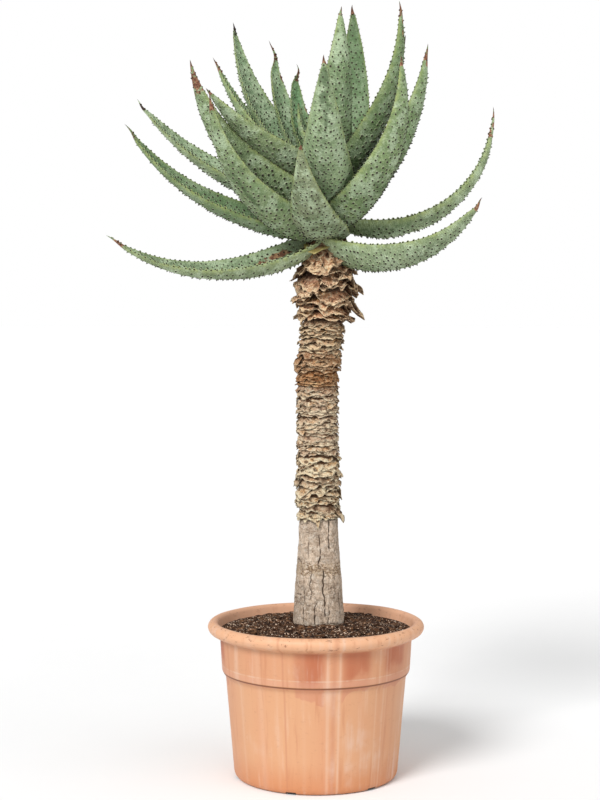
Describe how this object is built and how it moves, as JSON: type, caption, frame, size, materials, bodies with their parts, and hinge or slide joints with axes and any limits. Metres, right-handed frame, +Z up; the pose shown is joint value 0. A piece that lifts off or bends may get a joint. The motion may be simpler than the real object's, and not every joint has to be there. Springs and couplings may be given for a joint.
{
  "type": "potted mountain aloe",
  "caption": "Potted mountain aloe: a tall single-stemmed succulent with a crown of prickly channelled leaves, growing in a round nursery pot.",
  "frame": {"origin": "middle of the pot's flat foot", "axes": "+Z up along the plant, +X to the right and +Y away seen from the front of the picture"},
  "size_m": [0.5621, 0.4578, 1.1534],
  "materials": {
    "pot_plastic": "weathered terracotta-coloured plastic",
    "soil": "dark potting mix of bark and peat with pale grit",
    "bark": "bare grey fissured bark",
    "dead_straw": "dry straw-coloured leaf bases",
    "dead_grey": "dry grey-brown leaf bases",
    "dead_brown": "dry dark brown leaf bases",
    "leaf": "waxy grey-green leaf skin"
  },
  "bodies": {
    "root": {"pot": "pot_plastic", "soil": "soil", "stem": "bark", "dead_leaf_bases_straw": "dead_straw", "dead_leaf_bases_grey": "dead_grey", "dead_leaf_bases_red_brown": "dead_brown", "dead_leaf_bases_cream": "dead_straw", "dead_leaf_bases_crown": "dead_brown", "leaf_low_1": "leaf", "leaf_low_2": "leaf", "leaf_low_3": "leaf", "leaf_low_4": "leaf", "leaf_low_5": "leaf", "leaf_low_6": "leaf", "leaf_low_7": "leaf", "leaf_low_8": "leaf", "leaf_low_9": "leaf", "leaf_middle_1": "leaf", "leaf_middle_2": "leaf", "leaf_middle_3": "leaf", "leaf_middle_4": "leaf", "leaf_middle_5": "leaf", "leaf_middle_6": "leaf", "leaf_middle_7": "leaf", "leaf_middle_8": "leaf", "leaf_middle_9": "leaf", "leaf_upper_1": "leaf", "leaf_upper_2": "leaf", "leaf_upper_3": "leaf", "leaf_upper_4": "leaf", "leaf_upper_5": "leaf", "leaf_upper_6": "leaf", "leaf_upper_7": "leaf", "leaf_heart_1": "leaf", "leaf_heart_2": "leaf", "leaf_heart_3": "leaf"}
  },
  "joints": []
}
